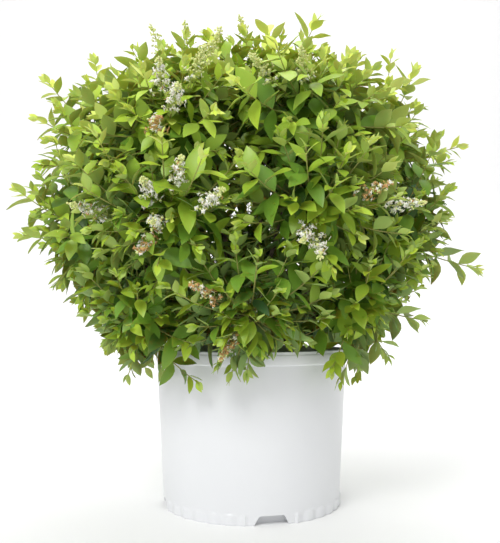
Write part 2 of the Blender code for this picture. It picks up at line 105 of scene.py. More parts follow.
# Crown, as in the solids
CROWN_OUTLINE = (
    (0.165, 0.168),
    (0.215, 0.195),
    (0.260, 0.225),
    (0.310, 0.265),
    (0.370, 0.292),
    (0.440, 0.305),
    (0.500, 0.300),
    (0.560, 0.280),
    (0.600, 0.250),
    (0.635, 0.195),
    (0.662, 0.110),
    (0.680, 0.010),
)
CROWN_SHIFT = Vector((-0.015, 0.0, 0.0))
CROWN_LEEWAY = 0.012
CROWN_HEART = Vector((-0.010, 0.0, 0.360))
TIERS = (
    ("skirt", 7, 0.274, 0.180, -90.0, 0.210),
    ("middle", 7, 0.388, 0.208, -116.0, 0.229),
    ("upper", 6, 0.507, 0.186, -120.0, 0.248),
    ("top", 3, 0.582, 0.074, -60.0, None),
)
TIER_STAGGER = 0.010
SHIFT_FOOT = 0.25
SHIFT_RISE = 0.15
CORE_RADIUS = 0.046
CORE_SHARE = 0.70

# Boughs, as in the solids
BOUGH_RADIUS = 0.0042
BOUGH_TIP_RADIUS = 0.0023
BOUGH_TO_CORE = 0.022
BOUGH_RINGS = 18
BOUGH_SIDES = 9
TOP_BOUGH_LEAN = math.radians(16.0)
TOP_BOUGH_START = 0.0085
STEEPEST_RISE = math.radians(72.0)
EXTRA_RISE = math.radians(20.0)
BOUGH_STRAIGHT_RUN = 0.06

# Bark relief: depth as a share of the limb's radius, and how fast furrows change
BARK_DEPTH = 0.07
FURROW_ACROSS = 1.9
FURROW_ALONG = 0.35
FURROW_BY_RADIUS = 900

# Shoots of a mass
SHOOT_DIRECTIONS = 56
CELL_OVERLAP = 0.028
INNER_LIMIT = -0.80  # a shoot that points more inwards than this is left out
SHOOT_RADIUS = 0.0011
SHOOT_TIP_RADIUS = 0.0006
SHOOT_RISE = 0.30
SHOOT_POINTS = 7
SHOOT_BOW = 0.12
LONG_SHOOT_BOW = 0.06
LEAFY_SHARE = 0.80
LONG_LEAFY_SHARE = 0.9
LONG_SHOOT_LIGHT = 0.15
SHORTEST_SHOOT = 0.030
LONGEST_SHOOT = 0.30
REACH_STEP = 0.004
LONG_SHOOT_THICKNESS = 1.2
LEAFY_TIP_ROOM = 0.016
SHADE_SPREAD = 0.22
GOLDEN_ANGLE = math.pi * (3.0 - math.sqrt(5.0))
TWIG_TIP_RADIUS = 0.0018

# Leaves at about their true size
LEAF_LENGTH = 0.037
LEAF_WIDTH = 0.0180
LEAF_ROWS = 6
LEAF_FOLD = 0.22
LEAF_THICKNESS = 0.0004
LEAF_WAVE = 0.0006
LEAF_STALK = 0.07
STALK_HALF_WIDTH = 0.035
LEAF_FORMS = ((0.16, 0.0), (0.34, 0.25), (0.05, -0.3))  # droop and twist
NODE_STEP = 0.0165
LEAFY_TIP_GAP = 0.004
BLOOMING_TIP_GAP = 0.012
YOUNGEST_LEAF = 0.42
TIP_LEAF_ROOM = 0.018
LEAF_GROWTH = 0.22
FIRST_SPREAD = 24.0
SPREAD_STEP = 13.0
WIDEST_SPREAD = 62.0
LEAF_DROOP = 0.10

# Shoots that stand out of the crown in the photograph, by the place of the tip
LONG_SHOOTS = {
    "crest": (0.098, -0.100, 0.686),
    "upper_right": (0.217, 0.000, 0.678),
    "right_shoulder": (0.251, -0.020, 0.646),
    "right_high": (0.314, -0.050, 0.512),
    "right_middle": (0.293, -0.040, 0.412),
    "right_far": (0.338, -0.030, 0.331),
    "right_low": (0.249, -0.060, 0.258),
    "right_droop": (0.190, -0.090, 0.200),
    "front_droop_right": (0.096, -0.150, 0.186),
    "front_droop_left": (-0.030, -0.170, 0.180),
    "left_droop": (-0.162, -0.100, 0.198),
    "left_low": (-0.208, -0.080, 0.227),
    "left_skirt": (-0.282, -0.060, 0.303),
    "left_far": (-0.341, -0.050, 0.382),
    "left_middle": (-0.350, -0.040, 0.455),
    "left_high": (-0.326, -0.040, 0.559),
    "left_shoulder": (-0.316, -0.020, 0.628),
    "upper_left": (-0.236, -0.030, 0.658),
}

# Shoots that stand out of the crown's back, out of the photograph's sight
BACK_SHOOTS = 11
BACK_SHOOT_REACH = 1.10
BACK_SHOOT_HEIGHTS = (0.30, 0.62, 0.45, 0.56, 0.36)
BACK_AZIMUTHS = (8.0, 164.0)  # first, and span, in degrees
BACK_BLOOM_EVERY = 3

# Panicles that show in the photograph: place of the tip and kind of bloom
PANICLES = {
    "crest_left": ((-0.155, -0.020, 0.703), "bud"),
    "crest_middle": ((-0.095, -0.050, 0.697), "bud"),
    "crest_front": ((-0.020, -0.080, 0.690), "bud"),
    "crest_right": ((0.026, 0.020, 0.704), "bud"),
    "shoulder_white": ((-0.106, -0.276, 0.545), "open"),
    "shoulder_low": ((-0.081, -0.292, 0.510), "open"),
    "chest_left": ((-0.075, -0.300, 0.430), "open"),
    "chest_far_left": ((-0.119, -0.285, 0.410), "open"),
    "left_edge": ((-0.215, -0.228, 0.390), "open"),
    "middle_front": ((-0.031, -0.300, 0.392), "open"),
    "left_belly": ((-0.109, -0.278, 0.362), "open"),
    "left_brown": ((-0.108, -0.292, 0.468), "faded"),
    "left_low_brown": ((-0.127, -0.256, 0.330), "faded"),
    "front_low_brown": ((-0.068, -0.254, 0.300), "faded"),
    "rim_front": ((-0.014, -0.214, 0.236), "open"),
    "rim_left": ((-0.035, -0.198, 0.210), "faded"),
    "big_white": ((0.077, -0.264, 0.326), "open"),
    "big_white_left": ((0.056, -0.274, 0.342), "open"),
    "right_white": ((0.209, -0.205, 0.396), "open"),
    "right_brown": ((0.160, -0.250, 0.410), "faded"),
    "top_left_inner": ((-0.051, -0.270, 0.565), "bud"),
    "top_middle": ((-0.002, -0.275, 0.552), "bud"),
    "top_front": ((-0.033, -0.262, 0.588), "bud"),
    "top_right_inner": ((0.052, -0.270, 0.560), "bud"),
}

# Panicles
EVERY_NTH_SHOOT_BLOOMS = 11
FIRST_SHOOT_TO_BLOOM = 4
SMALL_PANICLE = 0.85
PANICLE_LENGTH = 0.056
PANICLE_SPREAD = 0.0145
PANICLE_BRANCHES = 20
BLOOMS_PER_BRANCH = 5
BRANCH_TURN = 2.4
STALK_RADII = (0.0008, 0.0004)
BRANCH_RADII = (0.0005, 0.0003)
BLOOM_SCATTER = 0.0024
BUD_RADIUS = 0.00135
PETAL_REACH = 0.0030
PETAL_WAIST = 0.42
PETAL_THICKNESS = 0.0007

# Leaf tints, light to dark, and the age and shade up to which each is dealt
TINT_LIMITS = {
    "chartreuse": 0.36,
    "lime": 0.74,
    "bright": 1.08,
    "green": 1.44,
    "deep": 1.75,
    "sea": math.inf,
}
TINTS = {
    "chartreuse": (0.700, 0.800, 0.130),
    "lime": (0.430, 0.600, 0.045),
    "bright": (0.285, 0.440, 0.030),
    "green": (0.150, 0.300, 0.024),
    "deep": (0.060, 0.150, 0.016),
    "sea": (0.050, 0.140, 0.040),
}
UNDERSIDES = {
    "chartreuse": (0.620, 0.720, 0.190),
    "lime": (0.430, 0.570, 0.120),
    "bright": (0.330, 0.470, 0.110),
    "green": (0.240, 0.370, 0.100),
    "deep": (0.170, 0.290, 0.085),
    "sea": (0.150, 0.280, 0.110),
}

# View of the photograph, 500 by 543
CAMERA_PLACE = (-0.002, -1.000, 0.260)
CAMERA_TILT = math.radians(4.2)
CAMERA_LENS = 44.55

# Studio: a pale sweep, an even white sky, and lamps by place, aim, size and power
SWEEP_RADIUS = 1.6
SWEEP_HALF_WIDTH = 6.0
SWEEP_STEPS = 48
SKY_STRENGTH = 0.58
LAMPS = {
    "key": ((-0.7, -1.7, 1.9), (0.0, 0.0, 0.35), 0.9, 34.0),
    "backdrop": ((0.0, 0.9, 2.4), (0.0, 2.2, 0.6), 2.4, 26.0),
    "back": ((0.4, 1.6, 2.0), (0.0, 0.0, 0.35), 1.4, 12.0),
}

Site = namedtuple("Site", "name place stem_height")


# Materials


def plain_material(name, colour, roughness, subsurface=0.0):
    material = bpy.data.materials.new(name)
    material.use_nodes = True
    shader = material.node_tree.nodes["Principled BSDF"]
    shader.inputs["Base Color"].default_value = (*colour, 1.0)
    shader.inputs["Roughness"].default_value = roughness
    if subsurface:
        shader.inputs["Subsurface Weight"].default_value = subsurface
        shader.inputs["Subsurface Scale"].default_value = 0.002
    return material


def mottled_material(name, dark, light, scale, roughness, bump):
    """A finish whose colour and relief wander between two tones."""
    material = bpy.data.materials.new(name)
    material.use_nodes = True
    tree = material.node_tree
    shader = tree.nodes["Principled BSDF"]
    shader.inputs["Roughness"].default_value = roughness
    place = tree.nodes.new("ShaderNodeTexCoord")
    grain = tree.nodes.new("ShaderNodeTexNoise")
    grain.inputs["Scale"].default_value = scale
    grain.inputs["Detail"].default_value = 6.0
    ramp = tree.nodes.new("ShaderNodeValToRGB")
    ramp.color_ramp.elements[0].position = 0.32
    ramp.color_ramp.elements[0].color = (*dark, 1.0)
    ramp.color_ramp.elements[1].position = 0.68
    ramp.color_ramp.elements[1].color = (*light, 1.0)
    relief = tree.nodes.new("ShaderNodeBump")
    relief.inputs["Strength"].default_value = bump
    relief.inputs["Distance"].default_value = 0.001
    tree.links.new(place.outputs["Object"], grain.inputs["Vector"])
    tree.links.new(grain.outputs["Fac"], ramp.inputs["Fac"])
    tree.links.new(ramp.outputs["Color"], shader.inputs["Base Color"])
    tree.links.new(grain.outputs["Fac"], relief.inputs["Height"])
    tree.links.new(relief.outputs["Normal"], shader.inputs["Normal"])
    return material


# Making and joining meshes


def new_object(name, mesh, materials):
    for material in materials:
        mesh.materials.append(material)
    item = bpy.data.objects.new(name, mesh)
    bpy.context.scene.collection.objects.link(item)
    return item


def mesh_from(name, shape):
    mesh = bpy.data.meshes.new(name)
    shape.to_mesh(mesh)
    shape.free()
    return mesh


class Template:
    """A small shape held as arrays, to be repeated many times in one mesh."""

    def __init__(self, shape, smooth=False):
        shape.verts.ensure_lookup_table()
        self.points = np.array([vert.co[:] for vert in shape.verts])
        self.faces = [[vert.index for vert in face.verts] for face in shape.faces]
        self.slots = [face.material_index for face in shape.faces]
        self.smooth = smooth
        self.rim = np.array([bool(vert.tag) for vert in shape.verts])
        shape.free()


def repeat(name, template, matrices, materials):
    """Join a copy of the template at each matrix into one object, sharp along its rim."""
    count = len(matrices)
    turns = np.array(matrices)
    size = len(template.points)
    points = np.einsum("nij,kj->nki", turns[:, :3, :3], template.points) + turns[:, None, :3, 3]
    sizes = np.array([len(face) for face in template.faces])
    corners = np.concatenate([np.array(face) for face in template.faces])
    loops = (corners[None, :] + size * np.arange(count)[:, None]).ravel()
    starts = np.concatenate(([0], np.cumsum(np.tile(sizes, count))[:-1]))
    mesh = bpy.data.meshes.new(name)
    mesh.vertices.add(count * size)
    mesh.vertices.foreach_set("co", points.ravel())
    mesh.loops.add(len(loops))
    mesh.loops.foreach_set("vertex_index", loops.astype(np.int32))
    mesh.polygons.add(count * len(sizes))
    mesh.polygons.foreach_set("loop_start", starts.astype(np.int32))
    mesh.polygons.foreach_set("material_index", np.tile(template.slots, count).astype(np.int32))
    mesh.update(calc_edges=True)
    mesh.validate()
    if template.smooth:
        mesh.shade_smooth()
        pairs = np.empty(len(mesh.edges) * 2, dtype=np.int32)
        mesh.edges.foreach_get("vertices", pairs)
        rim = template.rim[pairs.reshape(-1, 2) % size].all(axis=1)
        sharp = mesh.attributes.get("sharp_edge") or mesh.attributes.new(
            "sharp_edge", 'BOOLEAN', 'EDGE')
        sharp.data.foreach_set("value", rim)
    return new_object(name, mesh, materials)


def turn_to(direction, upper_side):
    """A turn that takes +X to a direction and +Z towards the upper side."""
    along = direction.normalized()
    across = upper_side.cross(along)
    if across.length < 1e-5:
        across = along.orthogonal()
    across.normalize()
    up = along.cross(across)
    return Matrix((along, across, up)).transposed().to_4x4()


def placed(root, direction, upper_side, size):
    """The matrix of a copy whose root, heading, upper side and size are given."""
    matrix = Matrix.Translation(root) @ turn_to(direction, upper_side)
    return np.array(matrix @ Matrix.Diagonal((size, size, size, 1.0)))


# Crown rules, as in the solids


def wall_radius(height):
    share = height / (POT_HEIGHT - RIM_BAND)
    return FOOT_RADIUS + (WALL_TOP_RADIUS - FOOT_RADIUS) * share


def radius_at(profile, height):
    """The radius at a height of a profile, which lists heights and radii upwards."""
    for (low, near), (high, far) in zip(profile, profile[1:]):
        if height <= high:
            return near + (far - near) * (height - low) / (high - low)
    return profile[-1][1]


def stem_radius(height):
    return radius_at(STEM_PROFILE, height - STEM_FOOT)


def crown_radius(height):
    if height <= CROWN_OUTLINE[0][0] or height >= CROWN_OUTLINE[-1][0]:
        return 0.0
    return radius_at(CROWN_OUTLINE, height)


def in_crown(point):
    out = point - CROWN_SHIFT
    return math.hypot(out.x, out.y) < crown_radius(point.z) + CROWN_LEEWAY


def clear_of_pot(point):
    return point.z > POT_HEIGHT + 0.003 or math.hypot(point.x, point.y) > RIM_RADIUS + 0.002


def mass_sites():
    """Where each mass of foliage is, and how high its bough leaves the stem."""
    sites = []
    for tier, count, height, out, first, stem_height in TIERS:
        for index in range(count):
            azimuth = math.radians(first + index * 360.0 / count)
            lift = TIER_STAGGER * (1 if index % 2 else -1)
            place = Vector((out * math.cos(azimuth), out * math.sin(azimuth), height + lift))
            place += CROWN_SHIFT * min(1.0, (height - SHIFT_FOOT) / SHIFT_RISE)
            sites.append(Site(f"{tier}_{index + 1}", place, stem_height))
    return sites


def cell_planes(site, sites):
    """The planes half way to every other mass, which bound a mass's own space."""
    planes = []
    for other in sites:
        if other is site:
            continue
        towards = other.place - site.place
        planes.append((site.place + towards / 2, towards.normalized()))
    return planes


def room_in_cell(point, planes):
    return min((middle - point).dot(normal) for middle, normal in planes)


def bent_route(start, control, end, count):
    """Points along one smooth bend from start to end, drawn towards the control point."""
    route = []
    for step in range(count):
        t = step / (count - 1)
        route.append(start * (1 - t) ** 2 + control * 2 * t * (1 - t) + end * t ** 2)
    return route


def bough_route(site, core_radius):
    """A bough's way from the stem's side, or its top, to just short of the mass's core."""
    place, stem_height = site.place, site.stem_height
    flat = Vector((place.x, place.y, 0.0)).normalized()
    if stem_height is None:
        lean = TOP_BOUGH_LEAN
        heading = flat * math.sin(lean) + Vector((0.0, 0.0, math.cos(lean)))
        start = flat * TOP_BOUGH_START
        start.z = STEM_TOP + GAP + BOUGH_RADIUS * math.sin(lean)
    else:
        rise = math.atan2(place.z - stem_height, math.hypot(place.x, place.y))
        rise = min(STEEPEST_RISE, rise + EXTRA_RISE)
        heading = flat * math.cos(rise) + Vector((0.0, 0.0, math.sin(rise)))
        inner_edge = stem_height + BOUGH_RADIUS * math.cos(rise)
        start = flat * (stem_radius(inner_edge) + GAP + BOUGH_RADIUS * math.sin(rise))
        start.z = stem_height
    inward = (start + heading * BOUGH_STRAIGHT_RUN - place).normalized()
    end = place + inward * (core_radius + BOUGH_TO_CORE)
    control = start + heading * (end - start).length * 0.5
    return bent_route(start, control, end, BOUGH_RINGS)


# Leaves


def leaf_half_width(share):
    """Half width along a leaf: a short stalk, a broad lower half and a drawn-out tip."""
    if share < LEAF_STALK:
        return STALK_HALF_WIDTH
    along = (share - LEAF_STALK) / (1.0 - LEAF_STALK)
    blade = 0.5 * math.sin(math.pi * along ** 0.80) ** 0.92
    return STALK_HALF_WIDTH * (1 - along) + blade


def at_leaf_end(share):
    return share < 0.01 or share > 0.99


def leaf_template(droop, twist):
    """A closed leaf along +X, its halves folded up from the midrib, its underside paler."""
    shape = bmesh.new()
    bmesh.ops.create_grid(shape, x_segments=LEAF_ROWS, y_segments=2, size=0.5)
    for vert in shape.verts:
        share = vert.co.x + 0.5
        side = 0.0 if abs(vert.co.y) < 0.1 else math.copysign(1.0, vert.co.y)
        half = 0.0 if at_leaf_end(share) else leaf_half_width(share) * LEAF_WIDTH
        wave = LEAF_WAVE * math.sin(share * 9.0) * side
        vert.co.x = share * LEAF_LENGTH
        vert.co.y = side * half
        bend = -droop * share * share * LEAF_LENGTH
        vert.co.z = bend + abs(side) * half * LEAF_FOLD + wave + twist * side * share * half
    bmesh.ops.remove_doubles(shape, verts=shape.verts, dist=1e-6)
    copy = bmesh.ops.duplicate(shape, geom=shape.verts[:] + shape.edges[:] + shape.faces[:])
    under = [item for item in copy["geom"] if isinstance(item, bmesh.types.BMFace)]
    bmesh.ops.reverse_faces(shape, faces=under)
    for face in under:
        face.material_index = 1
    for item in copy["geom"]:
        if isinstance(item, bmesh.types.BMVert) and abs(item.co.y) < 1e-6:
            if not at_leaf_end(item.co.x / LEAF_LENGTH):
                item.co.z -= LEAF_THICKNESS
    bmesh.ops.remove_doubles(shape, verts=shape.verts, dist=1e-6)
    for vert in shape.verts:
        vert.tag = abs(vert.co.y) > 1e-6 or at_leaf_end(vert.co.x / LEAF_LENGTH)
    return Template(shape, smooth=True)


# Growth


class Growth:
    """Everything that grows: leaves by tint and form, stems by route, and blooms by kind."""

    def __init__(self):
        self.leaves = {tint: [[] for _ in LEAF_FORMS] for tint in TINTS}
        self.shoots = []
        self.twigs = []
        self.stalks = []
        self.blooms = {"bud": [], "open": [], "faded": []}


def scatter(chance, amount):
    """A small random offset, up to an amount along each axis."""
    return Vector([chance.uniform(-amount, amount) for _ in range(3)])


def has_room(allows, root, direction, length):
    """Whether a leaf's middle and tip both lie where it may grow."""
    middle = root + direction * length * 0.55
    return allows(middle) and allows(root + direction * length)


def tint_for(age, shade):
    """Young leaves are yellow-green, older ones green, and shaded ones deep or sea green."""
    return next(tint for tint, limit in TINT_LIMITS.items() if age + shade < limit)


def shoot_route(start, end, chance, bow=SHOOT_BOW):
    """A gently bowed run from the mass out to a tip, turning up as it goes."""
    span = end - start
    sag = span.cross(Vector((0.0, 0.0, 1.0))).cross(span).normalized() * -span.length * bow
    side = span.orthogonal().normalized() * span.length * chance.uniform(-0.05, 0.05)
    return bent_route(start, (start + end) / 2 + sag + side, end, SHOOT_POINTS)


def end_heading(route):
    return (route[-1] - route[-2]).normalized()


def point_on(route, distance):
    """Place and heading at a distance back from the tip of a route."""
    for near, far in zip(reversed(route[1:]), reversed(route[:-1])):
        length = (near - far).length
        if distance <= length:
            return near + (far - near) * distance / length, (near - far).normalized()
        distance -= length
    return None, None


def dress_shoot(growth, route, allows, shade, chance, blooming, leafy_share=LEAFY_SHARE):
    """Opposite pairs of leaves along a shoot, small and pale at the tip, larger below."""
    total = sum((far - near).length for near, far in zip(route, route[1:]))
    heading = end_heading(route)
    across = heading.orthogonal().normalized()
    across.rotate(Matrix.Rotation(chance.uniform(0.0, math.pi), 3, heading))
    distance = BLOOMING_TIP_GAP if blooming else LEAFY_TIP_GAP
    node = 0
    vigour = chance.uniform(0.85, 1.15)
    age_step = chance.uniform(0.15, 0.24)
    while distance < total * leafy_share:
        place, heading = point_on(route, distance)
        if place is None:
            break
        across = (across - heading * across.dot(heading)).normalized()
        across.rotate(Matrix.Rotation(math.pi / 2 + chance.uniform(-0.3, 0.3), 3, heading))
        grown = min(1.0, YOUNGEST_LEAF + LEAF_GROWTH * node) * vigour
        spread = FIRST_SPREAD + SPREAD_STEP * node + chance.uniform(-6.0, 6.0)
        spread = math.radians(min(WIDEST_SPREAD, spread))
        for side in (1, -1):
            direction = heading * math.cos(spread) + across * side * math.sin(spread)
            direction.z -= LEAF_DROOP * node * chance.uniform(0.3, 1.0)
            direction.normalize()
            size = grown * chance.uniform(0.88, 1.12)
            if not has_room(allows, place, direction, LEAF_LENGTH * size):
                continue
            upper = heading * 0.8 + Vector((0.0, 0.0, 0.9)) + scatter(chance, 0.25)
            tint = tint_for(age_step * node, shade + chance.uniform(-0.10, 0.10))
            form = chance.randrange(len(LEAF_FORMS))
            growth.leaves[tint][form].append(placed(place, direction, upper, size))
        distance += NODE_STEP * (0.55 + 0.16 * min(node, 3)) * chance.uniform(0.9, 1.15)
        node += 1
    if not blooming and has_room(allows, route[-1], heading, TIP_LEAF_ROOM):
        for side in (1, -1):
            direction = (heading + across * side * 0.22).normalized()
            upper = across.cross(heading) * side
            leaf = placed(route[-1], direction, upper, YOUNGEST_LEAF)
            growth.leaves[tint_for(0.0, shade)][0].append(leaf)


def bloom_kind(kind, share, roll):
    """What a bloom is: a panicle opens from its foot, and a few flowers differ from the rest."""
    if kind == "open":
        if roll > 0.97:
            return "faded"
        return "bud" if share > 0.78 or roll < 0.22 else "open"
    if kind == "faded" and roll < 0.45:
        return "open" if roll < 0.25 else "bud"
    if kind == "bud" and share < 0.3 and roll < 0.25:
        return "open"
    return kind


def grow_panicle(growth, root, heading, kind, chance, size=1.0):
    """A stalk with whorls of short branches, each with a few buds or open flowers."""
    length = PANICLE_LENGTH * size
    tip = root + heading * length
    growth.stalks.append(([root, (root + tip) / 2, tip], *STALK_RADII))
    side = heading.orthogonal().normalized()
    for branch in range(PANICLE_BRANCHES):
        share = 0.10 + 0.88 * branch / PANICLE_BRANCHES
        turn = Matrix.Rotation(BRANCH_TURN * branch + chance.uniform(-0.3, 0.3), 3, heading)
        out = (turn @ side * 0.86 + heading * 0.52).normalized()
        reach = PANICLE_SPREAD * size * (1.08 - share) * chance.uniform(0.75, 1.15)
        base = root + heading * length * share
        end = base + out * reach
        growth.stalks.append(([base, (base + end) / 2, end], *BRANCH_RADII))
        for bloom in range(BLOOMS_PER_BRANCH):
            along = 0.45 + 0.6 * bloom / (BLOOMS_PER_BRANCH - 1)
            place = base + out * reach * along
            place += scatter(chance, 1.0) * BLOOM_SCATTER * size
            face = (out + scatter(chance, 0.7)).normalized()
            here = bloom_kind(kind, share, chance.random())
            scale = chance.uniform(0.8, 1.15) * size
            growth.blooms[here].append(placed(place, face, heading, scale))
    growth.blooms["bud"].append(placed(tip, heading, side, size))


def back_shoot_tips():
    chance = random.Random(SEED)
    first, span = BACK_AZIMUTHS
    tips = []
    for index in range(BACK_SHOOTS):
        azimuth = math.radians(first + span * (index + 0.5) / BACK_SHOOTS)
        height = BACK_SHOOT_HEIGHTS[index % len(BACK_SHOOT_HEIGHTS)]
        height += chance.uniform(-0.015, 0.015)
        out = crown_radius(height) * BACK_SHOOT_REACH
        tip = Vector((out * math.cos(azimuth), out * math.sin(azimuth), height))
        tips.append(tip + CROWN_SHIFT)
    return tips


def shade_at(point):
    """How shaded a place is: deep inside and low down more, outside and high up less."""
    radius = crown_radius(min(0.66, max(0.18, point.z))) + 0.001
    out = math.hypot(point.x - CROWN_SHIFT.x, point.y) / radius
    high = (point.z - 0.20) / 0.46
    return 1.15 - 0.70 * min(1.0, high) - 0.45 * min(1.0, out)


def shoot_directions(turn, outward):
    """Directions spread evenly round a mass, raised a little, none pointing far inwards."""
    directions = []
    for index in range(SHOOT_DIRECTIONS):
        height = 1.0 - 2.0 * (index + 0.5) / SHOOT_DIRECTIONS
        flat = math.sqrt(1.0 - height * height)
        angle = turn + GOLDEN_ANGLE * index
        direction = Vector((flat * math.cos(angle), flat * math.sin(angle), height))
        direction = (direction + Vector((0.0, 0.0, SHOOT_RISE))).normalized()
        if direction.dot(outward) >= INNER_LIMIT:
            directions.append(direction)
    return directions


def shoot_length(place, direction, allows):
    """How far a shoot may run before its tip leaves the mass's space."""
    reach = SHORTEST_SHOOT
    while reach < LONGEST_SHOOT and allows(place + direction * (reach + REACH_STEP)):
        reach += REACH_STEP
    return reach - 2 * REACH_STEP


def grow_space(growth, place, outward, allows, chance):
    """Fill a mass's own space with leafy shoots, some of which end in a panicle."""
    shoot = 0
    for direction in shoot_directions(chance.uniform(0.0, math.tau), outward):
        length = shoot_length(place, direction, allows) * chance.uniform(0.62, 1.0)
        if length < SHORTEST_SHOOT:
            continue
        end = place + direction * length
        inner = place + direction * length * chance.uniform(0.02, 0.16)
        route = shoot_route(inner, end, chance)
        heading = end_heading(route)
        blooming = shoot % EVERY_NTH_SHOOT_BLOOMS == FIRST_SHOOT_TO_BLOOM and direction.z > 0.0
        blooming = blooming and allows(end + heading * PANICLE_LENGTH)
        growth.shoots.append((route, SHOOT_RADIUS, SHOOT_TIP_RADIUS))
        shade = shade_at(end) + chance.uniform(-SHADE_SPREAD, SHADE_SPREAD)
        dress_shoot(growth, route, allows, shade, chance, blooming)
        if blooming:
            kind = chance.choice(("bud", "bud", "open", "open", "faded"))
            grow_panicle(growth, end, heading, kind, chance, SMALL_PANICLE)
        shoot += 1


def grow_to_goals(growth, place, goals, allows, chance):
    """Grow a long shoot to each goal, a tip's place and what the shoot ends in."""
    for goal, kind in goals:
        direction = (goal - place).normalized()
        end = goal - direction * (LEAFY_TIP_ROOM if kind == "leafy" else PANICLE_LENGTH)
        route = shoot_route(place, end, chance, LONG_SHOOT_BOW)
        growth.shoots.append((route, SHOOT_RADIUS * LONG_SHOOT_THICKNESS, SHOOT_TIP_RADIUS))
        shade = shade_at(end) - LONG_SHOOT_LIGHT
        blooming = kind != "leafy"
        dress_shoot(growth, route, allows, shade, chance, blooming, LONG_LEAFY_SHARE)
        if blooming:
            grow_panicle(growth, end, end_heading(route), kind, chance)


def grow_mass(growth, site, planes, bough, goals):
    """Grow one mass of foliage on from the tip of its bough."""
    name, place = site.name, site.place
    chance = random.Random(SEED + sum(ord(letter) * 31 for letter in name))

    def in_space(point):
        near = room_in_cell(point, planes) > -CELL_OVERLAP
        return near and clear_of_pot(point) and in_crown(point)

    def in_open(point):
        return room_in_cell(point, planes) > -2 * CELL_OVERLAP and clear_of_pot(point)

    tip = bough[-1]
    growth.twigs.append(([tip, (tip + place) / 2, place], BOUGH_TIP_RADIUS, TWIG_TIP_RADIUS))
    outward = (place - CROWN_HEART).normalized()
    grow_space(growth, place, outward, in_space, chance)
    grow_to_goals(growth, place, goals, in_open, chance)


def goals_by_mass(sites):
    """Every tip that a long shoot runs to, listed by the nearest mass."""
    goals = [(Vector(tip), "leafy") for tip in LONG_SHOOTS.values()]
    goals += [(tip, "leafy" if index % BACK_BLOOM_EVERY else "open")
              for index, tip in enumerate(back_shoot_tips(), start=1)]
    goals += [(Vector(tip), kind) for tip, kind in PANICLES.values()]
    wanted = {site.name: [] for site in sites}
    for goal, kind in goals:
        nearest = min(sites, key=lambda site: (site.place - goal).length)
        wanted[nearest.name].append((goal, kind))
    return wanted


def routes_object(name, routes, material, roundness):
    """One mesh of tapering stems, a closed tube to each route and its two radii."""
    curve = bpy.data.curves.new(name, 'CURVE')
    curve.dimensions = '3D'
    curve.bevel_depth = 1.0
    curve.bevel_resolution = roundness
    curve.use_fill_caps = True
    for route, radius, tip_radius in routes:
        spline = curve.splines.new('POLY')
        spline.points.add(len(route) - 1)
        for index, (point, place) in enumerate(zip(spline.points, route)):
            share = index / (len(route) - 1)
            point.co = (*place, 1.0)
            point.radius = radius + (tip_radius - radius) * share
    guide = bpy.data.objects.new(name + "_guide", curve)
    bpy.context.scene.collection.objects.link(guide)
    graph = bpy.context.evaluated_depsgraph_get()
    graph.update()
    mesh = bpy.data.meshes.new_from_object(guide.evaluated_get(graph))
    bpy.data.objects.remove(guide, do_unlink=True)
    shape = bmesh.new()
    shape.from_mesh(mesh)
    bmesh.ops.remove_doubles(shape, verts=shape.verts, dist=1e-6)
    shape.to_mesh(mesh)
    shape.free()
    mesh.name = name
    mesh.materials.clear()
    mesh.shade_smooth()
    return new_object(name, mesh, [material])


# Blossom


def bud_template():
    shape = bmesh.new()
    bmesh.ops.create_icosphere(shape, subdivisions=1, radius=BUD_RADIUS)
    bmesh.ops.scale(shape, verts=shape.verts, vec=(1.35, 1.0, 1.0))
    return Template(shape)


def flower_template():
    """A flower of four spreading petals, facing +X."""
    shape = bmesh.new()
    ring = bmesh.ops.create_circle(shape, cap_ends=True, segments=8, radius=PETAL_REACH)
    for index, vert in enumerate(ring["verts"]):
        if index % 2:
            vert.co *= PETAL_WAIST
    sheet = bmesh.ops.extrude_face_region(shape, geom=shape.faces[:])
    lifted = [item for item in sheet["geom"] if isinstance(item, bmesh.types.BMVert)]
    bmesh.ops.translate(shape, verts=lifted, vec=(0.0, 0.0, PETAL_THICKNESS))
    bmesh.ops.rotate(shape, verts=shape.verts, matrix=Matrix.Rotation(math.pi / 2, 3, 'Y'))
    bmesh.ops.recalc_face_normals(shape, faces=shape.faces)
    return Template(shape)


# Pot, soil and bark


def pot_profile():
    """Radius and height from the inside floor, over the lip and down to the foot."""
    band_foot = POT_HEIGHT - RIM_BAND
    lip_inner = LIP_RADIUS - WALL - LIP_ROUND
    side = [(wall_radius(level), level) for level in SIDE_LEVELS + FOOT_LEVELS]
    return [
        (0.0, FLOOR),
        (wall_radius(FLOOR) - WALL, FLOOR),
        (wall_radius(band_foot) - WALL, band_foot),
        (lip_inner, POT_HEIGHT - LIP_ROUND),
        (lip_inner + LIP_ROUND, POT_HEIGHT),
        (LIP_RADIUS - LIP_ROUND, POT_HEIGHT),
        (LIP_RADIUS, POT_HEIGHT - LIP_ROUND),
        (LIP_RADIUS + 0.0002, POT_HEIGHT - 0.0038),
        (RIM_RADIUS - 0.0003, POT_HEIGHT - 0.0046),
        (RIM_RADIUS, POT_HEIGHT - 0.0056),
        (RIM_RADIUS - 0.0003, band_foot + 0.0018),
        (RIM_RADIUS - 0.0008, band_foot + 0.0008),
        (WALL_TOP_RADIUS, band_foot - 0.0002),
        *side,
        (FOOT_RADIUS - 0.0008, 0.0),
        (FOOT_RADIUS - 0.0040, 0.0),
        (0.0, 0.0),
    ]


